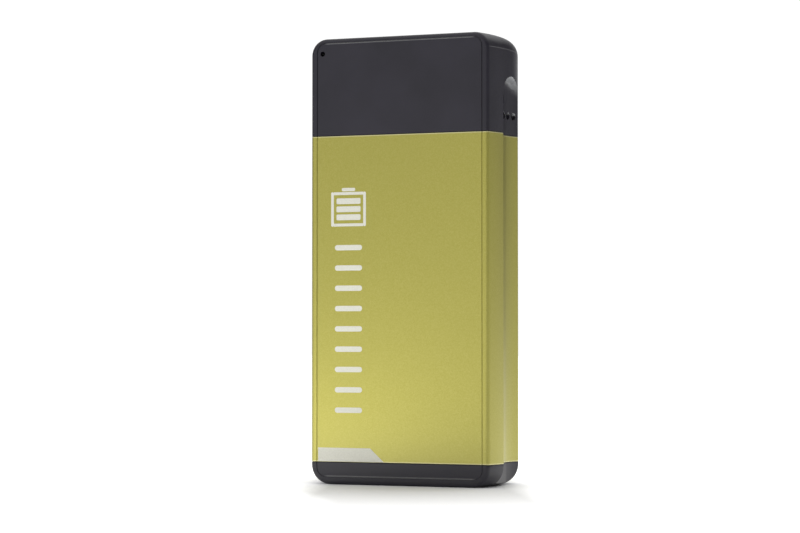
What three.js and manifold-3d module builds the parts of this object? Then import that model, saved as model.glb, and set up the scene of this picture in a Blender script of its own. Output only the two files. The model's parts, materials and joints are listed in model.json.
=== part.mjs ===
// A slim upright two-cell power bank: an extruded aluminium sleeve closed by two moulded caps. The top cap
// holds the electronics, a flip-out USB-A plug in its left side and a USB-A socket in its top face.
// Millimetres, +Z up, +X to the right of someone who faces the front, which looks towards -Y.
// The origin is the middle of the base.
import * as THREE from "three";
import { mergeVertices } from "three/addons/utils/BufferGeometryUtils.js";
import { ConvexGeometry } from "three/addons/geometries/ConvexGeometry.js";
import Module from "manifold-3d";

const wasm = await Module();
wasm.setup();

// Case
const HEIGHT = 108;
const SIDE_HALF_W = 22.94; // half width where the bowed sides meet the rounded edges
const SIDE_END = 10.24; // how far forward and back the bowed sides reach
const BOW = 1.86; // how far the left and right sides bow outwards
const EDGE_R = 1; // rounding between the front or back face and the sides
const TOP_R = 4; // corners of the front outline
const BOTTOM_R = 4.8;
const BOTTOM_SEAM = 5.47; // height of the seam between the bottom cap and the sleeve
const TOP_SEAM = 84.24; // height of the seam between the sleeve and the top cap
const SEAM_GAP = 0.12;
const FRAME = { half: 21.4, bottom: 1.78, top: 107, radius: 2.4 }; // groove that frames front and back
const GROOVE_WIDTH = 0.3;
const GROOVE_DEPTH = 0.2;
const WALL = 1.1; // front and back walls of the sleeve
const TOP_WALL = 1.8;
const CAP_WALL = 1.6;
const SKIRT = 3; // how far the caps reach into the sleeve
const SKIRT_WALL = 1.1;
const FIT_GAP = 0.3;

// Recess down the right side, ending in an arch in the top cap. Each level gives the X of a section through
// it, the Y of its back edge, the height of its arch, and how square the arch's back shoulder is.
const RECESS_FLOOR = 22.4;
const RECESS_NEAR = -4.73; // Y of its front edge
const RECESS_LEVELS = [
  { x: RECESS_FLOOR, far: 2.1, top: 96.95, shoulder: 3.6 },
  { x: 22.5, far: 3, top: 97, shoulder: 3.3 },
  { x: 22.7, far: 4.35, top: 97.1, shoulder: 2.9 },
  { x: 23, far: 5.63, top: 97.25, shoulder: 2.5 },
  { x: 23.4, far: 6.92, top: 97.45, shoulder: 2.1 },
  { x: 24, far: 8.43, top: 97.75, shoulder: 1.6 },
  { x: 24.7, far: 9.86, top: 98.05, shoulder: 1.3 },
  { x: 25.8, far: 11.7, top: 98.55, shoulder: 1.2 },
];
const ARCH_Y = 0.72; // Y of the top of the arch
const ARCH_SPRING = 93.5; // height at which the arch begins
const ARCH_NEAR_SHOULDER = 2.5;

// Flip-out plug
const PIN_X = -19.88;
const PIN_Z = 104.3;
const PIN_R = 0.5;
const PLUG_WIDTH = 12; // along Y
const PLUG_THICK = 4.5;
const SHELL_LENGTH = 12.2;
const SHEET = 0.3; // steel sheet of plug and socket
const PLUG_OFFSET = 1.3; // how far the shell lies outside the pin when stowed
const ARM_R = 3.4;
const ARM_LENGTH = 4.2; // from the pin to the steel shell
const PLUG_BAY = { floor: 86.5, wallX: PIN_X + ARM_R + 0.35, half: 6.3 };

// Output socket
const SOCKET_X = 3;
const SOCKET_WIDE = 13.1;
const SOCKET_THICK = 5.7;
const SOCKET_LONG = 14;

// Cells
const CELL_R = 9.2;
const CELL_X = 9.6;
const CELL_BASE = 11.2;
const CELL_LONG = 64.4;
const CELL_TOP = CELL_BASE + CELL_LONG;

// Gauge and button on the side board
const LED_Z = 89;
const LED_YS = [-1.28, 1.22, 3.67, 6.12];
const GAUGE_HOLE_R = 0.85;
const BUTTON_Y = -1.4;
const BUTTON_Z = 93;
const BUTTON_WIDE = 5;
const BUTTON_TALL = 4.6;
const BUTTON_TRAVEL = 0.3;

const EDGE_SLOPE = Math.atan((2 * BOW) / SIDE_END); // slope of the bow where it meets the edge
const HALF_W = SIDE_HALF_W + BOW;
const HALF_D = SIDE_END + EDGE_R * (1 - Math.sin(EDGE_SLOPE));
const INNER_HALF_W = 21.1;
const INNER_HALF_D = HALF_D - WALL;
const CAVITY_LEFT = PLUG_BAY.wallX + CAP_WALL;
const CAVITY_RIGHT = RECESS_FLOOR - 1.4;
const FAR = 200; // reach of cutters that go right through

const COLOURS = {
  black_plastic: [0x34353a, 0.5, 0],
  green_aluminium: [0xaaa63f, 0.42, 0.8],
  steel: [0xc4c6c8, 0.28, 1],
  gold: [0xc9a24a, 0.3, 1],
  white_plastic: [0xe6e6e2, 0.5, 0],
  grey_plastic: [0x8a8f94, 0.5, 0],
  smoky_lens: [0x3a4048, 0.2, 0],
  cell_wrap: [0x2f6fa8, 0.4, 0],
  board_green: [0x1d5a3a, 0.45, 0],
  chip_black: [0x17181a, 0.5, 0],
  ferrite: [0x4a4b4e, 0.7, 0.1],
  nickel: [0xb9b7ae, 0.35, 1],
  foam: [0x26272a, 0.95, 0],
  red_wire: [0xb5231f, 0.5, 0],
  black_wire: [0x1b1b1d, 0.5, 0],
};

// ---- helpers -------------------------------------------------------------------------------------------

function solidOf(geometry) {
  const plain = geometry.index ? geometry.toNonIndexed() : geometry.clone();
  plain.deleteAttribute("normal");
  plain.deleteAttribute("uv");
  const merged = mergeVertices(plain, 1e-4);
  return new wasm.Manifold(
    new wasm.Mesh({
      numProp: 3,
      vertProperties: merged.attributes.position.array,
      triVerts: new Uint32Array(merged.index.array),
    }),
  );
}

function geometryOf(solid) {
  const mesh = solid.getMesh();
  const geometry = new THREE.BufferGeometry();
  geometry.setAttribute("position", new THREE.BufferAttribute(mesh.vertProperties, 3));
  geometry.setIndex(new THREE.BufferAttribute(mesh.triVerts, 1));
  geometry.computeVertexNormals();
  return geometry;
}

function cut(solid, ...tools) {
  return tools.reduce((left, tool) => left.subtract(tool), solid);
}

function join(solid, ...others) {
  return others.reduce((left, other) => left.add(other), solid);
}

function box(x0, x1, y0, y1, z0, z1) {
  const geometry = new THREE.BoxGeometry(x1 - x0, y1 - y0, z1 - z0);
  return solidOf(geometry.translate((x0 + x1) / 2, (y0 + y1) / 2, (z0 + z1) / 2));
}

function roundedRect(width, height, radius, cx = 0, cy = 0) {
  const w = width / 2 - radius;
  const h = height / 2 - radius;
  const shape = new THREE.Shape();
  shape.absarc(cx + w, cy - h, radius, -Math.PI / 2, 0, false);
  shape.absarc(cx + w, cy + h, radius, 0, Math.PI / 2, false);
  shape.absarc(cx - w, cy + h, radius, Math.PI / 2, Math.PI, false);
  shape.absarc(cx - w, cy - h, radius, Math.PI, Math.PI * 1.5, false);
  shape.closePath();
  return shape;
}

// An outline in X and Y, extruded upwards.
function prismZ(shape, z0, z1, curveSegments = 6) {
  const geometry = new THREE.ExtrudeGeometry(shape, { depth: z1 - z0, bevelEnabled: false, curveSegments });
  return solidOf(geometry.translate(0, 0, z0));
}

// An outline in X and Z, extruded along Y.
function prismY(shape, y0, y1, curveSegments = 12) {
  const geometry = new THREE.ExtrudeGeometry(shape, { depth: y1 - y0, bevelEnabled: false, curveSegments });
  return solidOf(geometry.rotateX(Math.PI / 2).translate(0, y1, 0));
}

// An outline in Y and Z, extruded along X.
function prismX(shape, x0, x1, curveSegments = 6) {
  const geometry = new THREE.ExtrudeGeometry(shape, { depth: x1 - x0, bevelEnabled: false, curveSegments });
  return solidOf(geometry.rotateX(Math.PI / 2).rotateZ(Math.PI / 2).translate(x0, 0, 0));
}

function rod(axis, radius, low, high, a, b, sides = 16) {
  const geometry = new THREE.CylinderGeometry(radius, radius, high - low, sides);
  const middle = (low + high) / 2;
  if (axis === "x") geometry.rotateZ(-Math.PI / 2).translate(middle, a, b);
  if (axis === "y") geometry.translate(a, middle, b);
  if (axis === "z") geometry.rotateX(Math.PI / 2).translate(a, b, middle);
  return solidOf(geometry);
}

function lead(points, radius) {
  const path = new THREE.CatmullRomCurve3(points.map((p) => new THREE.Vector3(...p)), false, "centripetal");
  const section = new THREE.Shape().absarc(0, 0, radius, 0, Math.PI * 2, false);
  const settings = { extrudePath: path, steps: 28, bevelEnabled: false, curveSegments: 4 };
  return solidOf(new THREE.ExtrudeGeometry(section, settings));
}

const powerBank = new THREE.Group();

function part(name, solid, finish, group = powerBank) {
  const [color, roughness, metalness] = COLOURS[finish];
  const mesh = new THREE.Mesh(
    geometryOf(solid),
    new THREE.MeshStandardMaterial({ color, roughness, metalness }),
  );
  mesh.name = name;
  group.add(mesh);
  return mesh;
}

// ---- case ----------------------------------------------------------------------------------------------

// Half width at places from front to back: round the front edge, along the bow, round the back edge.
function sections() {
  const edgeSteps = 6;
  const bowSteps = 16;
  const straight = HALF_D - EDGE_R;
  const centreX = SIDE_HALF_W - EDGE_R * Math.cos(EDGE_SLOPE);
  const edge = [];
  for (let i = 0; i <= edgeSteps; i++) {
    const angle = -Math.PI / 2 + (Math.PI / 2 - EDGE_SLOPE) * (i / edgeSteps);
    edge.push({ y: -straight + EDGE_R * Math.sin(angle), half: centreX + EDGE_R * Math.cos(angle) });
  }
  const bow = [];
  for (let i = 0; i <= bowSteps; i++) {
    const y = -straight + (2 * straight * i) / bowSteps;
    bow.push({ y, half: HALF_W - BOW * (y / SIDE_END) ** 2 });
  }
  const backEdge = edge.map(({ y, half }) => ({ y: -y, half })).reverse();
  return [...edge, ...bow, ...backEdge];
}

// Outline of the case at one section, as a ring of points in X and Z.
function outlineAt({ y, half }) {
  const past = Math.max(0, Math.abs(y) - (HALF_D - EDGE_R));
  const inset = EDGE_R - Math.sqrt(Math.max(0, EDGE_R ** 2 - past ** 2));
  const ring = [];
  const corner = (side, centreZ, fullRadius, start) => {
    const steps = 12;
    const radius = fullRadius - inset;
    for (let i = 0; i <= steps; i++) {
      const angle = start + (Math.PI / 2) * (i / steps);
      ring.push([side * (half - radius) + radius * Math.cos(angle), centreZ + radius * Math.sin(angle)]);
    }
  };
  corner(1, BOTTOM_R, BOTTOM_R, -Math.PI / 2);
  corner(1, HEIGHT - TOP_R, TOP_R, 0);
  corner(-1, HEIGHT - TOP_R, TOP_R, Math.PI / 2);
  corner(-1, BOTTOM_R, BOTTOM_R, Math.PI);
  return ring;
}

// The whole outer form, before it is divided by the seams: flat front and back, bowed sides, rounded edges.
function caseBlank() {
  const places = sections();
  const rings = places.map(outlineAt);
  const count = rings[0].length;
  const positions = places.flatMap(({ y }, j) => rings[j].flatMap(([x, z]) => [x, y, z]));
  const faces = [];
  for (let j = 0; j + 1 < places.length; j++) {
    for (let i = 0; i < count; i++) {
      const a = j * count + i;
      const b = j * count + ((i + 1) % count);
      faces.push(a, b + count, b);
      faces.push(a, a + count, b + count);
    }
  }
  const last = (places.length - 1) * count;
  for (let i = 1; i + 1 < count; i++) {
    faces.push(0, i, i + 1);
    faces.push(last, last + i + 1, last + i);
  }
  const geometry = new THREE.BufferGeometry();
  geometry.setAttribute("position", new THREE.Float32BufferAttribute(positions, 3));
  geometry.setIndex(faces);
  return solidOf(geometry);
}

function faceGroove(y0, y1) {
  const frame = (inset) =>
    prismY(
      roundedRect(
        2 * (FRAME.half - inset),
        FRAME.top - FRAME.bottom - 2 * inset,
        FRAME.radius - inset,
        0,
        (FRAME.top + FRAME.bottom) / 2,
      ),
      y0,
      y1,
      8,
    );
  return frame(0).subtract(frame(GROOVE_WIDTH));
}

// Outline of the recess in Y and Z at one level: straight sides and an arch, as a list of points.
function archOutline({ far, top, shoulder }) {
  const rise = top - ARCH_SPRING;
  const points = [[RECESS_NEAR, -10], [far, -10]];
  const steps = 20;
  for (let i = 0; i <= steps; i++) {
    const share = Math.abs(Math.cos((Math.PI * i) / steps));
    const [edge, power] = i < steps / 2 ? [RECESS_NEAR, ARCH_NEAR_SHOULDER] : [far, shoulder];
    points.push([ARCH_Y + (edge - ARCH_Y) * share, ARCH_SPRING + rise * (1 - share ** power) ** (1 / power)]);
  }
  return points;
}

function sideRecess() {
  const at = (level) => archOutline(level).map(([y, z]) => new THREE.Vector3(level.x, y, z));
  return solidOf(new ConvexGeometry(RECESS_LEVELS.flatMap(at)));
}

const caseForm = cut(
  caseBlank(),
  faceGroove(-HALF_D - 1, -HALF_D + GROOVE_DEPTH),
  faceGroove(HALF_D - GROOVE_DEPTH, HALF_D + 1),
  sideRecess(),
);

const caseBetween = (z0, z1) => caseForm.intersect(box(-FAR, FAR, -FAR, FAR, z0, z1));

// Ring that fits inside the sleeve, with its inner hole as a separate cutter.
const skirtForm = (inset, z0, z1) =>
  prismZ(
    roundedRect(2 * (INNER_HALF_W - FIT_GAP - inset), 2 * (INNER_HALF_D - FIT_GAP - inset), 1.2),
    z0,
    z1,
  );

function sleeve() {
  const bore = prismZ(roundedRect(2 * INNER_HALF_W, 2 * INNER_HALF_D, 1.4), -FAR, FAR);
  return cut(caseBetween(BOTTOM_SEAM, TOP_SEAM), bore);
}

function bottomCap() {
  const seam = BOTTOM_SEAM - SEAM_GAP;
  const floor = 1.8;
  return cut(
    join(caseBetween(-1, seam), skirtForm(0, seam - 1, seam + SKIRT)),
    skirtForm(SKIRT_WALL, floor, FAR),
  );
}

function topCap() {
  const seam = TOP_SEAM + SEAM_GAP;
  const mouth = seam + 1.2;
  const bay = box(-FAR, PLUG_BAY.wallX, -PLUG_BAY.half, PLUG_BAY.half, PLUG_BAY.floor, FAR);
  const cavity = prismZ(
    roundedRect(CAVITY_RIGHT - CAVITY_LEFT, 2 * (HALF_D - CAP_WALL), 1, (CAVITY_LEFT + CAVITY_RIGHT) / 2),
    mouth,
    HEIGHT - TOP_WALL,
  );
  const fingertip = rod("x", 5, -FAR, -HALF_W + 3, 0, PLUG_BAY.floor + 3.1, 40);
  return cut(
    join(caseBetween(seam, FAR), skirtForm(0, seam - SKIRT, seam + 1)),
    skirtForm(SKIRT_WALL, 0, mouth + 0.2),
    cavity,
    bay,
    fingertip,
    rod("y", PIN_R + 0.12, -FAR, HALF_D - 1.5, PIN_X, PIN_Z, 16),
    prismZ(roundedRect(SOCKET_WIDE + 0.5, SOCKET_THICK + 0.5, 0.6, SOCKET_X, 0), 100, FAR),
    prismX(buttonOutline(0.15), HALF_W - 4, FAR),
    ...LED_YS.map((y) => rod("x", GAUGE_HOLE_R, HALF_W - 4, FAR, y, LED_Z, 20)),
  );
}

function buttonOutline(grow) {
  const radius = 1.9 + grow;
  return roundedRect(BUTTON_WIDE + 2 * grow, BUTTON_TALL + 2 * grow, radius, BUTTON_Y, BUTTON_Z);
}

part("sleeve", sleeve(), "green_aluminium");
part("bottom_cap", bottomCap(), "black_plastic");
part("top_cap", topCap(), "black_plastic");

// ---- cells and their fittings --------------------------------------------------------------------------

function cell(x) {
  const profile = [
    [0, 0],
    [CELL_R - 0.6, 0],
    [CELL_R, 0.5],
    [CELL_R, CELL_LONG - 2],
    [CELL_R - 0.35, CELL_LONG - 1.6],
    [CELL_R, CELL_LONG - 1.2],
    [CELL_R - 0.5, CELL_LONG - 0.6],
    [3.4, CELL_LONG - 0.6],
    [3.2, CELL_LONG],
    [0, CELL_LONG],
  ].map(([r, z]) => new THREE.Vector2(r, z));
  const geometry = new THREE.LatheGeometry(profile, 28);
  return solidOf(geometry.rotateX(Math.PI / 2).translate(x, 0, CELL_BASE));
}

// Plate across the ends of both cells, with a round window over each.
function carrier(z0, z1, window) {
  const plate = prismZ(roundedRect(41.6, 18.4, 1.2), z0, z1);
  return cut(plate, ...[-CELL_X, CELL_X].map((x) => rod("z", window, z0 - 1, z1 + 1, x, 0, 20)));
}

// Wedge that fills the valley between the two cells at the front.
function cellWedge() {
  const block = box(-4, 4, -9.2, -4.6, CELL_BASE + 6, CELL_TOP - 6);
  const hollows = [-CELL_X, CELL_X].map((x) => rod("z", CELL_R + 0.3, 0, HEIGHT, x, 0, 28));
  return cut(block, ...hollows);
}

part("cell_left", cell(-CELL_X), "cell_wrap");
part("cell_right", cell(CELL_X), "cell_wrap");
part("cell_wedge", cellWedge(), "grey_plastic");
part("foam_pad", prismZ(roundedRect(38, 15.5, 1.5), 2, 7.3), "foam");
part("carrier_bottom", carrier(CELL_BASE - 2.4, CELL_BASE - 0.2, 5), "grey_plastic");
part("nickel_strip_bottom", box(-13, 13, -3, 3, CELL_BASE - 3, CELL_BASE - 2.7), "nickel");
part("carrier_top", carrier(CELL_TOP + 0.2, CELL_TOP + 2.2, 5), "grey_plastic");
part("nickel_strip_top", box(-13, 13, -3, 3, CELL_TOP + 2.5, CELL_TOP + 2.8), "nickel");
part("insulator_sheet", prismZ(roundedRect(38, 17, 1), CELL_TOP + 3.1, CELL_TOP + 3.5), "white_plastic");

// ---- main board ----------------------------------------------------------------------------------------

const BOARD_Y = 3.3;
const BOARD_THICK = 1.2;
const BOARD_BACK = BOARD_Y + BOARD_THICK;

part("main_board", box(CAVITY_LEFT + 0.8, 15.8, BOARD_Y, BOARD_BACK, 80, 104.4), "board_green");
part("charge_chip", box(-12, -8, BOARD_Y - 1.1, BOARD_Y - 0.1, 84, 88), "chip_black");
part("boost_chip", box(-5, -1, BOARD_Y - 1.6, BOARD_Y - 0.1, 83, 88), "chip_black");
part("protection_chip", box(4, 7, BOARD_Y - 1.2, BOARD_Y - 0.1, 83, 86), "chip_black");
const inductorOutline = roundedRect(6.5, 6.5, 1.5, -9, 95);
part("inductor", prismY(inductorOutline, BOARD_BACK + 0.1, BOARD_BACK + 3.1, 3), "ferrite");
part("capacitor_input", rod("y", 2, BOARD_BACK + 0.1, BOARD_BACK + 4.3, -1, 95, 20), "nickel");
part("capacitor_output", rod("y", 2, BOARD_BACK + 0.1, BOARD_BACK + 4.3, 5, 95, 20), "nickel");
part(
  "lead_positive",
  lead(
    [
      [12.4, 0.4, CELL_TOP + 5],
      [13.4, 1.2, CELL_TOP + 7],
      [12.6, 1.9, 83],
      [11, 2.2, 85.4],
    ],
    0.6,
  ),
  "red_wire",
);
part(
  "lead_negative",
  lead(
    [
      [0, 8.4, CELL_BASE + 1],
      [0, 8.5, 30],
      [0, 8.5, 60],
      [0, 8.4, CELL_TOP - 1],
    ],
    0.6,
  ),
  "black_wire",
);

// ---- output socket -------------------------------------------------------------------------------------

const SOCKET_TOP = HEIGHT - 0.5;
const SOCKET_BASE = SOCKET_TOP - SOCKET_LONG;

function socketShell() {
  const outer = roundedRect(SOCKET_WIDE, SOCKET_THICK, 0.5, SOCKET_X, 0);
  const inner = roundedRect(SOCKET_WIDE - 2 * SHEET, SOCKET_THICK - 2 * SHEET, 0.3, SOCKET_X, 0);
  return cut(prismZ(outer, SOCKET_BASE, SOCKET_TOP, 3), prismZ(inner, 0, FAR, 3));
}

function socketTongue() {
  const base = box(SOCKET_X - 6.1, SOCKET_X + 6.1, -2.4, 2.4, SOCKET_BASE + 0.2, SOCKET_BASE + 3);
  const tongue = box(SOCKET_X - 5.5, SOCKET_X + 5.5, 0.2, 2, SOCKET_BASE + 2, SOCKET_TOP - 1.2);
  return join(base, tongue);
}

part("socket_shell", socketShell(), "steel");
part("socket_tongue", socketTongue(), "white_plastic");
const CONTACT_OFFSETS = [-3.5, -1, 1, 3.5];
CONTACT_OFFSETS.forEach((offset, i) => {
  const x = SOCKET_X + offset;
  const strip = box(x - 0.45, x + 0.45, -0.1, 0.1, SOCKET_BASE + 3.1, SOCKET_TOP - 2.2);
  part(`socket_contact_${i + 1}`, strip, "gold");
});

// ---- side board: gauge lights and button ---------------------------------------------------------------

const BOARD_FACE_X = CAVITY_RIGHT - 3;
const GUIDE_BACK_X = BOARD_FACE_X + 0.9;
const GUIDE_FRONT_X = CAVITY_RIGHT - 1.2;
const SWITCH_TOP_X = BOARD_FACE_X + 1.4;
const FLANGE_X = CAVITY_RIGHT - 0.75;
const TIP_ENDS = [22, 22, 22.15, 22.7]; // each just under the surface of the recess

function lightGuide() {
  const bar = box(GUIDE_BACK_X, GUIDE_FRONT_X, LED_YS[0] - 0.8, LED_YS[3] + 0.8, LED_Z - 0.8, LED_Z + 0.8);
  const tip = (y, i) => rod("x", GAUGE_HOLE_R - 0.12, GUIDE_FRONT_X - 0.1, TIP_ENDS[i], y, LED_Z, 14);
  return join(bar, ...LED_YS.map(tip));
}

function switchBody() {
  const body = box(BOARD_FACE_X + 0.05, SWITCH_TOP_X, BUTTON_Y - 2, BUTTON_Y + 2, BUTTON_Z - 2, BUTTON_Z + 2);
  return cut(body, rod("x", 1.15, BOARD_FACE_X + 0.6, FAR, BUTTON_Y, BUTTON_Z));
}

function statusButton() {
  return join(
    prismX(buttonOutline(0), FLANGE_X + 0.2, RECESS_FLOOR, 8),
    prismX(buttonOutline(0.7), FLANGE_X, FLANGE_X + 0.5, 8),
  );
}

part("side_board", box(BOARD_FACE_X - 0.8, BOARD_FACE_X, -4.2, 7.8, 86.4, 96.4), "board_green");
LED_YS.forEach((y, i) => {
  const led = box(BOARD_FACE_X + 0.05, BOARD_FACE_X + 0.6, y - 0.4, y + 0.4, LED_Z - 0.8, LED_Z + 0.8);
  part(`gauge_led_${i + 1}`, led, "white_plastic");
});
part("light_guide", lightGuide(), "smoky_lens");
part("switch_body", switchBody(), "steel");

const button = new THREE.Group();
powerBank.add(button);
part("status_button", statusButton(), "black_plastic", button);
const plungerTip = FLANGE_X - 0.05;
const plungerFoot = SWITCH_TOP_X - BUTTON_TRAVEL - 0.1;
const plunger = rod("x", 0.9, plungerFoot, plungerTip, BUTTON_Y, BUTTON_Z, 12);
part("switch_plunger", plunger, "white_plastic", button);

// ---- flip-out plug, stowed pointing down ---------------------------------------------------------------
// Its pieces are drawn about the hinge pin and the group is placed on the pin.

const plug = new THREE.Group();
plug.position.set(PIN_X, 0, PIN_Z);
powerBank.add(plug);

const HALF_PLUG = PLUG_WIDTH / 2;
const SHELL_START = -ARM_LENGTH - 0.1;
const SHELL_END = SHELL_START - SHELL_LENGTH;

function plugArm() {
  const neck = box(-ARM_R + 0.05, ARM_R - 1.25, -HALF_PLUG, HALF_PLUG, -ARM_LENGTH, 0);
  const knuckle = rod("y", ARM_R, -HALF_PLUG, HALF_PLUG, 0, 0, 28);
  return cut(join(neck, knuckle), rod("y", PIN_R + 0.06, -FAR, FAR, 0, 0));
}

function plugShell() {
  const outer = roundedRect(PLUG_THICK, PLUG_WIDTH, 0.5, -PLUG_OFFSET);
  const inner = roundedRect(PLUG_THICK - 2 * SHEET, PLUG_WIDTH - 2 * SHEET, 0.3, -PLUG_OFFSET);
  const windows = [-1, 1].map((side) => {
    const y = side * 2.9;
    return box(-FAR, FAR, y - 1.25, y + 1.25, SHELL_END + 4.2, SHELL_END + 6.2);
  });
  return cut(prismZ(outer, SHELL_END, SHELL_START, 3), prismZ(inner, -FAR, FAR, 3), ...windows);
}

function plugTongue() {
  const half = PLUG_THICK / 2 - SHEET - 0.1;
  const back = half - PLUG_OFFSET;
  const block = box(back - 2 * half, back, -5.6, 5.6, SHELL_START - 2, SHELL_START);
  const tongue = box(back - half, back, -5.6, 5.6, SHELL_END + 0.4, SHELL_START - 1);
  return join(block, tongue);
}

part("plug_arm", plugArm(), "black_plastic", plug);
part("plug_shell", plugShell(), "steel", plug);
part("plug_tongue", plugTongue(), "white_plastic", plug);
CONTACT_OFFSETS.forEach((y, i) => {
  const x = -PLUG_OFFSET - 0.05;
  const strip = box(x - 0.2, x, y - 0.5, y + 0.5, SHELL_END + 1.2, SHELL_START - 2.1);
  part(`plug_contact_${i + 1}`, strip, "gold", plug);
});

part("hinge_pin", rod("y", PIN_R, -HALF_D + 3.4, HALF_D - 1.7, PIN_X, PIN_Z, 16), "steel");
const SPRING_X = PLUG_BAY.wallX - 0.1;
part("detent_spring", box(SPRING_X - 0.12, SPRING_X, -4, 4, PIN_Z - 6, PIN_Z - 0.5), "steel");

export default powerBank;
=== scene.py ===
"""The looks of the power bank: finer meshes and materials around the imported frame, a pale floor, soft light."""

import json
import math

import bmesh
import bpy
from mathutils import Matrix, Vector


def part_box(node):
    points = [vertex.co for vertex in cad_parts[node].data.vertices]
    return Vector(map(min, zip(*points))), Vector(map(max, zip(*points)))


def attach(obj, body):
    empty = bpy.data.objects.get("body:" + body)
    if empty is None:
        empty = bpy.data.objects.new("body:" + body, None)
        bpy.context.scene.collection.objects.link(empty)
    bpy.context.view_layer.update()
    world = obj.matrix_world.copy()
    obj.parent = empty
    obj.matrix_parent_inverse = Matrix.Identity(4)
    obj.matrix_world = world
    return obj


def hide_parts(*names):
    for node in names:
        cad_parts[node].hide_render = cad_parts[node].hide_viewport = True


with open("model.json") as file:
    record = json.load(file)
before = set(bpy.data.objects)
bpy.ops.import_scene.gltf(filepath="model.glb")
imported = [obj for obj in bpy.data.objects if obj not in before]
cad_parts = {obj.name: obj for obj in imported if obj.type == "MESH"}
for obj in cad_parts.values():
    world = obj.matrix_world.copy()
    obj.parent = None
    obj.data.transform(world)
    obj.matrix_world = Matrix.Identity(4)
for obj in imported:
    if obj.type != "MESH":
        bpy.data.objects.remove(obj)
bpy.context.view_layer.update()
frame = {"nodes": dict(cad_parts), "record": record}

MM = 0.001
NODES = frame["nodes"]
SLOT_OF = {row["node"]: row["material_slot"] for row in frame["record"]["subparts"]}
BODY_OF = {node: body for body, nodes in frame["record"]["behaviour"]["bodies"].items() for node in nodes}

SLEEVE_LOW, SLEEVE_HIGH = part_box("sleeve")
FRONT, BOTTOM_SEAM, TOP_SEAM = SLEEVE_LOW.y, SLEEVE_LOW.z, SLEEVE_HIGH.z

# The recess in the right side of the top cap: its floor, the Y that it lies between, where its arch begins, and
# the row of gauge holes in it.
RECESS_FLOOR = 22.4 * MM
RECESS_NEAR, RECESS_FAR = -5 * MM, 9.5 * MM
ARCH_SPRING = 93.5 * MM
GAUGE_Z = 89 * MM
GAUGE_YS = [y * MM for y in (-1.28, 1.22, 3.67, 6.12)]
GAUGE_HOLE_R = 0.85 * MM

# ---- camera --------------------------------------------------------------------------------------------

CAMERA_PLACE = Vector((208.27, -530.84, 36.48)) * MM
CAMERA_TILT = 1.634  # degrees above the level
CAMERA_TURN = 21.796  # degrees round from the front
SENSOR_WIDTH, LENS = 36, 105.37  # mm
CLIP_START, CLIP_END = 0.01, 20  # metres


def make_camera():
    data = bpy.data.cameras.new("camera")
    camera = bpy.data.objects.new("camera", data)
    bpy.context.scene.collection.objects.link(camera)
    data.sensor_width = SENSOR_WIDTH
    data.lens = LENS
    data.clip_start = CLIP_START
    data.clip_end = CLIP_END
    camera.location = CAMERA_PLACE
    camera.rotation_euler = (math.radians(90 + CAMERA_TILT), 0, math.radians(CAMERA_TURN))
    bpy.context.scene.camera = camera


make_camera()

# ---- material helpers ----------------------------------------------------------------------------------


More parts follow.
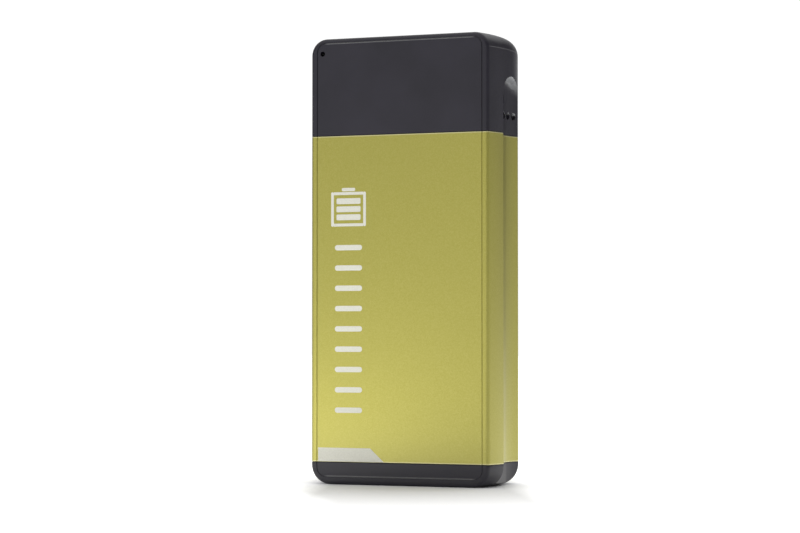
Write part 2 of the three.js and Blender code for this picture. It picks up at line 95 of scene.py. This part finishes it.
class Graph:
    """A material's nodes, with short calls for the ones used here."""

    def __init__(self, name):
        self.material = bpy.data.materials.new(name)
        self.material.use_nodes = True
        self.tree = self.material.node_tree
        self.tree.nodes.clear()
        self.shader = self.add("ShaderNodeBsdfPrincipled")
        output = self.add("ShaderNodeOutputMaterial")
        self.link(self.shader.outputs[0], output.inputs["Surface"])
        self.place = self.add("ShaderNodeTexCoord").outputs["Object"]

    def add(self, kind, **settings):
        node = self.tree.nodes.new(kind)
        for key, value in settings.items():
            setattr(node, key, value)
        return node

    def link(self, source, target):
        self.tree.links.new(source, target)

    def set(self, **values):
        """Sets sockets of the shader that are the same all over, with _ for each space in their names."""
        for key, value in values.items():
            self.shader.inputs[key.replace("_", " ")].default_value = value

    def noise(self, grain, detail, rough, place=None):
        """Noise whose features are about grain metres across."""
        node = self.add("ShaderNodeTexNoise")
        self.link(place or self.place, node.inputs["Vector"])
        node.inputs["Scale"].default_value = 1 / grain
        node.inputs["Detail"].default_value = detail
        node.inputs["Roughness"].default_value = rough
        return node.outputs["Fac"]

    def cells(self, grain):
        """Distances from the middles of cells that are about grain metres across."""
        node = self.add("ShaderNodeTexVoronoi")
        self.link(self.place, node.inputs["Vector"])
        node.inputs["Scale"].default_value = 1 / grain
        return node.outputs["Distance"]

    def stretched(self, x, y, z):
        """Coordinates multiplied by x, y and z, which draws a texture out where the factor is small."""
        node = self.add("ShaderNodeMapping")
        self.link(self.place, node.inputs["Vector"])
        node.inputs["Scale"].default_value = (x, y, z)
        return node.outputs["Vector"]

    def along(self, axis):
        """The coordinate along X, Y or Z, in metres."""
        node = self.add("ShaderNodeSeparateXYZ")
        self.link(self.place, node.inputs[0])
        return node.outputs["XYZ".index(axis)]

    def to_vector(self, operation, vector):
        """The distance from a point, or the product with a direction, of the place on the surface."""
        node = self.add("ShaderNodeVectorMath", operation=operation)
        self.link(self.place, node.inputs[0])
        node.inputs[1].default_value = vector
        return node.outputs["Value"]

    def remap(self, source, low, high, start=0.3, end=0.7):
        """low where the source is at start or under, high where it is at end or over, and even between."""
        node = self.add("ShaderNodeMapRange")
        self.link(source, node.inputs["Value"])
        node.inputs["From Min"].default_value = start
        node.inputs["From Max"].default_value = end
        node.inputs["To Min"].default_value = low
        node.inputs["To Max"].default_value = high
        return node.outputs["Result"]

    def math(self, operation, a, b=None):
        node = self.add("ShaderNodeMath", operation=operation)
        for socket, value in zip(node.inputs, (a, b)):
            if value is None:
                continue
            if isinstance(value, (int, float)):
                socket.default_value = value
            else:
                self.link(value, socket)
        return node.outputs[0]

    def weighted(self, a, b, share):
        """a and b in the shares share and 1 - share."""
        return self.math("ADD", self.math("MULTIPLY", a, share), self.math("MULTIPLY", b, 1 - share))

    def line(self, height, inner, outer, strength):
        """A level line: strength within inner of a height, and nothing beyond outer."""
        off = self.math("ABSOLUTE", self.math("SUBTRACT", self.along("Z"), height))
        return self.remap(off, strength, 0, inner, outer)

    def ramp(self, source, stops):
        node = self.add("ShaderNodeValToRGB")
        self.link(source, node.inputs["Fac"])
        ramp = node.color_ramp
        while len(ramp.elements) < len(stops):
            ramp.elements.new(1)
        for element, (position, colour) in zip(ramp.elements, stops):
            element.position = position
            element.color = (*colour, 1)
        return node.outputs["Color"]

    def mix(self, factor, a, b):
        node = self.add("ShaderNodeMix", data_type="RGBA")
        for socket, value in ((node.inputs[0], factor), (node.inputs[6], a), (node.inputs[7], b)):
            if isinstance(value, tuple):
                socket.default_value = (*value, 1)
            else:
                self.link(value, socket)
        return node.outputs[2]

    def bump(self, height, distance, strength):
        node = self.add("ShaderNodeBump")
        self.link(height, node.inputs["Height"])
        node.inputs["Distance"].default_value = distance
        node.inputs["Strength"].default_value = strength
        self.link(node.outputs["Normal"], self.shader.inputs["Normal"])

    def colour(self, source):
        self.link(source, self.shader.inputs["Base Color"])

    def roughness(self, source):
        self.link(source, self.shader.inputs["Roughness"])


def scaled(colour, factor):
    return tuple(factor * channel for channel in colour)


# ---- materials -----------------------------------------------------------------------------------------

CHARCOAL = (0.0135, 0.0118, 0.02)

# Painted highlights on the caps, in place of light caught by the fine lines: height and half width in mm, how
# much of the lighter colour shows, and whether the line runs along the front (True) or the right side (False).
PAINTED_HIGHLIGHT_LINES = [
    (106.76, 0.2, 1.0, True),
    (2.02, 0.2, 1.0, True),
    (104.4, 0.14, 0.5, False),
]
PAINTED_HIGHLIGHT_COLOUR = (0.16, 0.16, 0.165)
LINE_ENDS = (18.5 * MM, 19.5 * MM)  # a front line fades out over these distances from the middle
ON_FRONT = (-10.6 * MM, -10.4 * MM)  # and over this depth
ON_RIGHT_SIDE = (22.6 * MM, 23.2 * MM)  # a side line fades in over this distance to the right


def charcoal_plastic(name):
    """Fine moulding texture, with a trace of handling shine and painted highlights along the fine lines."""
    g = Graph(name)
    grain = g.noise(0.16 * MM, detail=3, rough=0.6)
    clouds = g.noise(9 * MM, detail=3, rough=0.5)
    colour = g.mix(g.remap(clouds, 0, 1), scaled(CHARCOAL, 0.86), scaled(CHARCOAL, 1.16))
    across = g.math("ABSOLUTE", g.along("X"))
    # Each line is a painted highlight: the lighter colour laid on where the edge would catch the light.
    for middle, half, share, on_front in PAINTED_HIGHLIGHT_LINES:
        line = g.line(middle * MM, 0.5 * half * MM, half * MM, strength=share)
        if on_front:
            line = g.math("MULTIPLY", line, g.remap(across, 1, 0, *LINE_ENDS))
            line = g.math("MULTIPLY", line, g.remap(g.along("Y"), 1, 0, *ON_FRONT))
        else:
            line = g.math("MULTIPLY", line, g.remap(g.along("X"), 0, 1, *ON_RIGHT_SIDE))
        colour = g.mix(line, colour, PAINTED_HIGHLIGHT_COLOUR)
    g.colour(colour)
    g.roughness(g.remap(g.weighted(clouds, grain, 0.5), 0.3, 0.4))
    g.bump(grain, distance=0.006 * MM, strength=0.4)
    return g.material


ANODISED_SHADES = [(0.0, (0.415, 0.38, 0.078)), (0.5, (0.45, 0.415, 0.094)), (1.0, (0.49, 0.455, 0.116))]
ANODISED_EVEN = (0.435, 0.405, 0.097)
# Colour of the painted highlight along the seams, where their rounded edges would catch the light.
SEAM_HIGHLIGHT = (0.78, 0.74, 0.42)


def olive_anodised(name):
    """Bead-blasted aluminium under a dyed anodic film, with a painted highlight along both seams."""
    g = Graph(name)
    blast = g.noise(0.2 * MM, detail=4, rough=0.65)
    sparkle = g.noise(0.3 * MM, detail=2, rough=0.8)
    clouds = g.noise(16 * MM, detail=2, rough=0.5)
    colour = g.mix(g.remap(clouds, 0, 0.22), g.ramp(g.remap(sparkle, 0, 1), ANODISED_SHADES), ANODISED_EVEN)
    # Painted highlight: a lighter band along each seam.
    for seam in (TOP_SEAM, BOTTOM_SEAM):
        colour = g.mix(g.line(seam, 0.16 * MM, 0.34 * MM, strength=0.7), colour, SEAM_HIGHLIGHT)
    g.colour(colour)
    g.roughness(g.remap(blast, 0.35, 0.43))
    g.set(Metallic=0.95, Coat_Weight=0.45, Coat_Roughness=0.2)
    g.bump(blast, distance=0.008 * MM, strength=0.5)
    return g.material


def plated_steel(name):
    """Drawn sheet with a thin plating and faint smudges."""
    g = Graph(name)
    drawn = g.noise(0.12 * MM, detail=3, rough=0.6, place=g.stretched(1, 1, 0.04))
    smudge = g.noise(3 * MM, detail=3, rough=0.6)
    g.colour(g.mix(g.remap(smudge, 0, 1), (0.56, 0.555, 0.54), (0.66, 0.66, 0.655)))
    g.roughness(g.remap(g.weighted(drawn, smudge, 0.6), 0.2, 0.36))
    g.set(Metallic=1.0)
    g.bump(drawn, distance=0.006 * MM, strength=0.4)
    return g.material


def gold_plate(name):
    """Contact plating with wipe marks along its length."""
    g = Graph(name)
    wipe = g.noise(0.08 * MM, detail=2, rough=0.5, place=g.stretched(1, 1, 0.05))
    g.colour(g.mix(g.remap(wipe, 0, 1), (0.66, 0.46, 0.17), (0.8, 0.6, 0.28)))
    g.roughness(g.remap(wipe, 0.22, 0.38))
    g.set(Metallic=1.0)
    g.bump(wipe, distance=0.004 * MM, strength=0.4)
    return g.material


def moulded_plastic(name, colour, rough=0.45):
    """Satin plastic with a fine grain and slight flow marks."""
    g = Graph(name)
    grain = g.noise(0.3 * MM, detail=3, rough=0.6)
    flow = g.noise(4 * MM, detail=2, rough=0.5)
    g.colour(g.mix(g.remap(flow, 0, 1), scaled(colour, 0.92), scaled(colour, 1.06)))
    g.roughness(g.remap(grain, rough - 0.06, rough + 0.06))
    g.bump(grain, distance=0.008 * MM, strength=0.4)
    return g.material


def smoked_lens(name):
    """Dark glossy plastic with a slight haze."""
    g = Graph(name)
    haze = g.noise(0.4 * MM, detail=2, rough=0.5)
    g.colour(g.mix(g.remap(haze, 0, 1), (0.006, 0.007, 0.009), (0.012, 0.014, 0.017)))
    g.roughness(g.remap(haze, 0.08, 0.2))
    g.set(Coat_Weight=0.3, Coat_Roughness=0.06)
    g.bump(haze, distance=0.004 * MM, strength=0.3)
    return g.material


def shrink_wrap(name):
    """Blue heat-shrink film with long ripples."""
    g = Graph(name)
    ripple = g.noise(5 * MM, detail=3, rough=0.6, place=g.stretched(1, 1, 0.3))
    g.colour(g.mix(g.remap(ripple, 0, 1), (0.03, 0.11, 0.3), (0.05, 0.17, 0.42)))
    g.roughness(g.remap(ripple, 0.22, 0.36))
    g.bump(ripple, distance=0.06 * MM, strength=0.5)
    return g.material


def solder_mask(name):
    """Green lacquer over the weave of the board."""
    g = Graph(name)
    weave = g.noise(0.6 * MM, detail=2, rough=0.5)
    g.colour(g.mix(g.remap(weave, 0, 1), (0.008, 0.07, 0.03), (0.014, 0.11, 0.045)))
    g.roughness(g.remap(weave, 0.24, 0.4))
    g.bump(weave, distance=0.008 * MM, strength=0.4)
    return g.material


def sintered(name, colour, rough=0.7):
    """Dull, finely pored material."""
    g = Graph(name)
    pores = g.cells(0.25 * MM)
    g.colour(g.mix(g.remap(pores, 0, 1, 0.1, 0.6), scaled(colour, 0.7), colour))
    g.roughness(g.remap(pores, rough, rough - 0.15, 0.1, 0.6))
    g.bump(pores, distance=0.02 * MM, strength=0.5)
    return g.material


def silver_ink(name):
    """Screen-printed metallic ink."""
    g = Graph(name)
    flake = g.noise(0.2 * MM, detail=3, rough=0.7)
    g.colour(g.mix(g.remap(flake, 0, 1), (0.66, 0.655, 0.57), (0.77, 0.765, 0.68)))
    g.roughness(g.remap(flake, 0.45, 0.6))
    g.set(Metallic=0.35)
    g.bump(flake, distance=0.006 * MM, strength=0.4)
    return g.material


# The dark of the painted shade, the lighter colour of the rims, and the painted highlight in the gauge holes.
PAINTED_RIM_SHADE = (0.013, 0.012, 0.017)
RIM_LOW, RIM_HIGH = (0.155, 0.16, 0.17), (0.185, 0.19, 0.2)
PAINTED_HOLE_HIGHLIGHT = (0.3, 0.305, 0.315)


def rim_light_and_shade(name):
    """Lighter colour with painted shade: it darkens down the arch and at its foot, and the walls of the gauge
    holes go from a painted highlight at their tops to shade below.
    """
    g = Graph(name)
    haze = g.noise(0.5 * MM, detail=2, rough=0.5)
    light = g.mix(g.remap(haze, 0, 1), RIM_LOW, RIM_HIGH)
    # Painted shade down the arch and where its wall meets the recess floor.
    up_the_arch = g.remap(g.along("Z"), 0, 1, ARCH_SPRING + 1 * MM, ARCH_SPRING + 3.6 * MM)
    off_the_floor = g.remap(g.along("X"), 0, 1, RECESS_FLOOR + 0.2 * MM, RECESS_FLOOR + 0.55 * MM)
    arch = g.mix(g.math("MULTIPLY", up_the_arch, off_the_floor), PAINTED_RIM_SHADE, light)
    # Painted highlight at the top of each gauge hole, with painted shade down its wall.
    up_the_hole = g.remap(g.along("Z"), 0, 1, GAUGE_Z + 0.2 * GAUGE_HOLE_R, GAUGE_Z + 0.6 * GAUGE_HOLE_R)
    hole = g.mix(up_the_hole, PAINTED_RIM_SHADE, PAINTED_HOLE_HIGHLIGHT)
    at_gauge = g.remap(g.along("Z"), 1, 0, GAUGE_Z + 2 * MM, GAUGE_Z + 3 * MM)
    g.colour(g.mix(at_gauge, arch, hole))
    g.roughness(g.remap(haze, 0.3, 0.4))
    g.bump(haze, distance=0.004 * MM, strength=0.3)
    return g.material


# The material of each slot in the record.
MATERIALS = {
    "black_plastic": charcoal_plastic("charcoal_plastic"),
    "anodised_aluminium": olive_anodised("olive_anodised"),
    "steel": plated_steel("plated_steel"),
    "contacts": gold_plate("gold_plate"),
    "white_plastic": moulded_plastic("white_plastic", (0.75, 0.75, 0.71)),
    "grey_plastic": moulded_plastic("grey_plastic", (0.22, 0.24, 0.26), 0.5),
    "smoky_lens": smoked_lens("smoked_lens"),
    "cell_wrap": shrink_wrap("shrink_wrap"),
    "circuit_board": solder_mask("solder_mask"),
    "chip": moulded_plastic("chip_epoxy", (0.011, 0.011, 0.012), 0.4),
    "ferrite": sintered("ferrite", (0.07, 0.07, 0.075)),
    "nickel": plated_steel("nickel"),
    "foam": sintered("foam", (0.022, 0.022, 0.024), 0.95),
    "red_lead": moulded_plastic("red_insulation", (0.42, 0.018, 0.014), 0.42),
    "black_lead": moulded_plastic("black_insulation", (0.012, 0.012, 0.013), 0.42),
}
# Lighter colour for the recess's end wall and gauge holes, with painted shade and highlight.
RIM_LIGHT_AND_SHADE = rim_light_and_shade("rim_light_and_shade")
INK = silver_ink("silver_ink")

# ---- finer meshes from the frame -----------------------------------------------------------------------

SMOOTH_BELOW = math.radians(28)  # edges with a smaller angle belong to a rounded surface
FLAT_BELOW = math.radians(0.6)  # faces that meet at a smaller angle are joined
SAME_POINT = 0.0005 * MM


def sharp_edges(mesh, keep=lambda edge: True):
    return [
        e for e in mesh.edges
        if e.is_manifold and e.calc_face_angle(0) > SMOOTH_BELOW and keep(e)
    ]


def round_off(mesh, edges, width, segments, profile):
    bmesh.ops.bevel(
        mesh, geom=edges, offset=width, segments=segments, profile=profile, affect="EDGES", clamp_overlap=True
    )


def refine(name, width, rims):
    """Replaces a CAD node with a copy whose sharp edges are rounded by width. rims gives tests for edges that
    get a wider rounding first, each with its width."""
    mesh = bmesh.new()
    mesh.from_mesh(NODES[name].data)
    bmesh.ops.remove_doubles(mesh, verts=mesh.verts, dist=SAME_POINT)
    bmesh.ops.dissolve_limit(
        mesh, angle_limit=FLAT_BELOW, verts=mesh.verts, edges=mesh.edges, delimit={"NORMAL"}
    )
    for on_rim, rim_width in rims:
        rim = sharp_edges(mesh, lambda edge: all(on_rim(v.co) for v in edge.verts))
        round_off(mesh, rim, rim_width, segments=3, profile=0.5)
    round_off(mesh, sharp_edges(mesh), width, segments=2, profile=0.6)
    data = bpy.data.meshes.new(name + "_fine")
    mesh.to_mesh(data)
    mesh.free()
    for polygon in data.polygons:
        polygon.use_smooth = True
    piece = bpy.data.objects.new(name + "_fine", data)
    bpy.context.scene.collection.objects.link(piece)
    data.materials.append(MATERIALS[SLOT_OF[name]])
    weighted = piece.modifiers.new("weighted_normals", "WEIGHTED_NORMAL")
    weighted.weight = 100
    weighted.keep_sharp = True
    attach(piece, BODY_OF[name])
    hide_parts(name)
    return piece


def at_height(height):
    return lambda point: abs(point.z - height) < 0.01 * MM


def from_gauge_hole(point):
    """Distance from the axis of the nearest gauge hole."""
    return min(math.hypot(point.y - y, point.z - GAUGE_Z) for y in GAUGE_YS)


def at_gauge_hole(point):
    """True on the mouths of the gauge holes."""
    return point.x > RECESS_FLOOR - 0.2 * MM and abs(from_gauge_hole(point) - GAUGE_HOLE_R) < 0.05 * MM


def give_rims_light_and_shade(piece):
    """Gives the recess's end wall and the walls of the gauge holes the lighter colour with its painted shade and
    highlight.
    """
    piece.data.materials.append(RIM_LIGHT_AND_SHADE)
    for face in piece.data.polygons:
        middle, normal = face.center, face.normal
        if middle.x < RECESS_FLOOR - 0.5 * MM or not RECESS_NEAR < middle.y < RECESS_FAR:
            continue
        looks_down, looks_out = normal.z < -0.25, abs(normal.x) >= 0.95
        on_arch = looks_down and middle.z > ARCH_SPRING
        in_hole = not looks_out and from_gauge_hole(middle) < 1.35 * GAUGE_HOLE_R
        if on_arch or in_hole:
            face.material_index = 1


# How wide the sharp edges of each visible node are rounded, in mm, and the edges that are rounded more.
EDGE_WIDTHS = {
    "top_cap": 0.09,
    "sleeve": 0.06,
    "bottom_cap": 0.09,
    "plug_arm": 0.25,
    "plug_shell": 0.08,
    "plug_tongue": 0.1,
    "socket_shell": 0.08,
    "socket_tongue": 0.1,
    "status_button": 0.18,
    "light_guide": 0.06,
    "hinge_pin": 0.1,
}
RIMS = {
    "top_cap": [(at_gauge_hole, 0.22 * MM)],
    "sleeve": [(at_height(TOP_SEAM), 0.2 * MM), (at_height(BOTTOM_SEAM), 0.2 * MM)],
}
FINE = {name: refine(name, width * MM, RIMS.get(name, [])) for name, width in EDGE_WIDTHS.items()}
# Painted shade and highlight on the recess's end wall and gauge holes.
give_rims_light_and_shade(FINE["top_cap"])

for node_name, node in NODES.items():
    if node_name not in FINE:
        node.data.materials.clear()
        node.data.materials.append(MATERIALS[SLOT_OF[node_name]])

# ---- printed marks on the sleeve -----------------------------------------------------------------------

INK_THICK = 0.008 * MM
INK_FACE = FRONT - INK_THICK
CORNER_STEPS = 6


def printed(name, outlines):
    """Thin plates of ink on the front of the sleeve, from outlines of (x, z) points in millimetres."""
    mesh = bmesh.new()
    for outline in outlines:
        ring = [mesh.verts.new((x * MM, INK_FACE, z * MM)) for x, z in outline]
        face = mesh.faces.new(ring)
        lifted = bmesh.ops.extrude_face_region(mesh, geom=[face])
        moved = [v for v in lifted["geom"] if isinstance(v, bmesh.types.BMVert)]
        bmesh.ops.translate(mesh, verts=moved, vec=(0, INK_THICK, 0))
    bmesh.ops.recalc_face_normals(mesh, faces=mesh.faces)
    data = bpy.data.meshes.new(name)
    mesh.to_mesh(data)
    mesh.free()
    data.materials.append(INK)
    piece = bpy.data.objects.new(name, data)
    bpy.context.scene.collection.objects.link(piece)
    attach(piece, "case")


def rectangle(x0, x1, z0, z1):
    return [(x0, z0), (x1, z0), (x1, z1), (x0, z1)]


def capsule(x0, x1, z0, z1, radius):
    """Rounded rectangle as a list of points."""
    points = []
    corners = ((x1, z0, -90), (x1, z1, 0), (x0, z1, 90), (x0, z0, 180))
    for x, z, start in corners:
        cx = x - radius if x == x1 else x + radius
        cz = z - radius if z == z1 else z + radius
        for i in range(CORNER_STEPS + 1):
            angle = math.radians(start + 90 * i / CORNER_STEPS)
            points.append((cx + radius * math.cos(angle), cz + radius * math.sin(angle)))
    return points


# All in mm. The patch has a slanted right end, so it is wider along its foot.
PATCH_LEFT, PATCH_LOW, PATCH_HIGH = -21.0, BOTTOM_SEAM / MM + 0.1, BOTTOM_SEAM / MM + 3.4
PATCH_FOOT, PATCH_HEAD = 17.2, 13.6
MARK_LEFT, MARK_RIGHT = -17.6, -8.5
SCALE_TOP, SCALE_STEP, SCALE_BARS, SCALE_INSET = 56.5, 4.9, 9, 1
BAR_HEIGHT, BAR_RADIUS = 1.3, 0.6
SIGN_LOW, SIGN_HIGH, SIGN_WALL, SIGN_RADIUS = 62.3, 70.6, 0.7, 0.3


def level_scale():
    """A column of bars."""
    left, right = MARK_LEFT + SCALE_INSET, MARK_RIGHT - SCALE_INSET
    feet = [SCALE_TOP - i * SCALE_STEP for i in range(SCALE_BARS)]
    return [capsule(left, right, foot, foot + BAR_HEIGHT, BAR_RADIUS) for foot in feet]


def battery_sign():
    """Frame of a plain battery pictogram as four bars, with its terminal and three charge bars inside."""
    left, right, low, high, wall = MARK_LEFT, MARK_RIGHT, SIGN_LOW, SIGN_HIGH, SIGN_WALL
    frame_bars = [
        capsule(left, left + wall, low, high, SIGN_RADIUS),
        capsule(right - wall, right, low, high, SIGN_RADIUS),
        rectangle(left + wall, right - wall, low, low + wall),
        rectangle(left + wall, right - wall, high - wall, high),
    ]
    terminal = capsule(left + 2.8, right - 2.8, high + 0.2, high + 1, 0.35)
    feet = [low + 1.5 + 1.95 * i for i in range(3)]
    charge_bars = [capsule(left + 1.4, right - 1.4, foot, foot + 1.4, SIGN_RADIUS) for foot in feet]
    return [*frame_bars, terminal, *charge_bars]


def corner_patch():
    """A plain patch in the lower left corner."""
    return [[
        (PATCH_LEFT, PATCH_LOW), (PATCH_LEFT + PATCH_FOOT, PATCH_LOW),
        (PATCH_LEFT + PATCH_HEAD, PATCH_HIGH), (PATCH_LEFT, PATCH_HIGH),
    ]]


printed("printed_corner_patch", corner_patch())
printed("printed_level_scale", level_scale())
printed("printed_battery_sign", battery_sign())

# ---- floor, light and world ----------------------------------------------------------------------------

FLOOR_SIZE = 6  # metres
FLOOR_GLOW = Vector((-70, -100, 0)) * MM  # middle of the patch of painted light that the floor gives off, front left of the object
SHADOW_ACROSS = Vector((0.93, 0.37, 0))  # across the soft shadow, which runs forward from the object; its sides are painted by where the floor's glow starts

# How the floor's own light fades: its strength at the near and the far end, and the distances of the two ends.
BEHIND = (0, 0.5, 0, 50 * MM)
FAR_BEHIND = (1, 0.1, 90 * MM, 330 * MM)
IN_PATCH = (2.6, 0, 20 * MM, 85 * MM)
ASIDE = (0, 0.5, 20 * MM, 27 * MM)
ROUND_ABOUT = (0, 0.6, 20 * MM, 95 * MM)


def make_floor():
    """Pale floor that gives off light behind the object, to both sides and in a patch on its front left: painted
    light in place of strong lamps, which also sets where the soft shadow fades out."""
    bpy.ops.mesh.primitive_plane_add(size=FLOOR_SIZE, location=(0, 0, 0))
    floor = bpy.context.object
    floor.name = "floor"
    g = Graph("pale_floor")
    g.set(Base_Color=(0.9, 0.9, 0.9, 1), Roughness=0.8, Specular_IOR_Level=0.1, Emission_Color=(1, 1, 1, 1))
    distance = g.to_vector("DISTANCE", (0, 0, 0))
    behind = g.math("MULTIPLY", g.remap(g.along("Y"), *BEHIND), g.remap(distance, *FAR_BEHIND))
    patch = g.remap(g.to_vector("DISTANCE", FLOOR_GLOW), *IN_PATCH)
    sideways = g.math("ABSOLUTE", g.to_vector("DOT_PRODUCT", SHADOW_ACROSS))
    around = g.math("MAXIMUM", g.remap(sideways, *ASIDE), g.remap(distance, *ROUND_ABOUT))
    strength = g.math("ADD", g.math("ADD", behind, patch), around)
    g.link(strength, g.shader.inputs["Emission Strength"])
    floor.data.materials.append(g.material)


def area_light(name, place, target, size, power):
    data = bpy.data.lights.new(name, "AREA")
    data.shape = "RECTANGLE"
    data.size, data.size_y = size
    data.energy = power
    light = bpy.data.objects.new(name, data)
    light.location = place
    light.rotation_euler = (Vector(target) - Vector(place)).to_track_quat("-Z", "Y").to_euler()
    bpy.context.scene.collection.objects.link(light)


# Each panel of the studio: its direction, the angles in degrees at which it is full and gone, its brightness.
PANELS = [
    ((-0.45, 0.89, 0.05), 20, 38, 0.6),
    ((-0.5, -0.86, 0.2), 25, 55, 0.5),
    ((0.88, 0.47, 0.05), 10, 38, 0.24),
    ((0, 0, 1), 25, 70, 0.85),
]
STUDIO_DARK = 0.07  # brightness between the panels
BACKDROP = 1.05  # brightness that the camera itself sees behind the object


def make_world():
    """A white tent with dark gaps. The camera itself sees plain white behind the object."""
    world = bpy.data.worlds.new("studio")
    bpy.context.scene.world = world
    world.use_nodes = True
    tree = world.node_tree
    add = tree.nodes.new
    aim = add("ShaderNodeTexCoord").outputs["Generated"]

    def calculate(operation, a, b):
        node = add("ShaderNodeMath")
        node.operation = operation
        for socket, value in zip(node.inputs, (a, b)):
            if isinstance(value, (int, float)):
                socket.default_value = value
            else:
                tree.links.new(value, socket)
        return node.outputs[0]

    total = STUDIO_DARK
    for direction, full, gone, brightness in PANELS:
        dot = add("ShaderNodeVectorMath")
        dot.operation = "DOT_PRODUCT"
        tree.links.new(aim, dot.inputs[0])
        dot.inputs[1].default_value = Vector(direction).normalized()
        fade = add("ShaderNodeMapRange")
        fade.interpolation_type = "SMOOTHSTEP"
        tree.links.new(dot.outputs["Value"], fade.inputs["Value"])
        fade.inputs["From Min"].default_value = math.cos(math.radians(gone))
        fade.inputs["From Max"].default_value = math.cos(math.radians(full))
        fade.inputs["To Max"].default_value = brightness
        total = calculate("ADD", fade.outputs["Result"], total)
    seen = add("ShaderNodeLightPath").outputs["Is Camera Ray"]
    strength = calculate("MAXIMUM", calculate("MULTIPLY", seen, BACKDROP), total)
    background = tree.nodes["Background"]
    background.inputs["Color"].default_value = (1, 1, 1, 1)
    tree.links.new(strength, background.inputs["Strength"])


make_floor()
make_world()
area_light("back_top", place=(0, 0.35, 0.5), target=(0, -0.03, 0), size=(0.6, 0.4), power=0.4)
bpy.context.scene.view_settings.view_transform = "Standard"
bpy.context.scene.view_settings.look = "None"
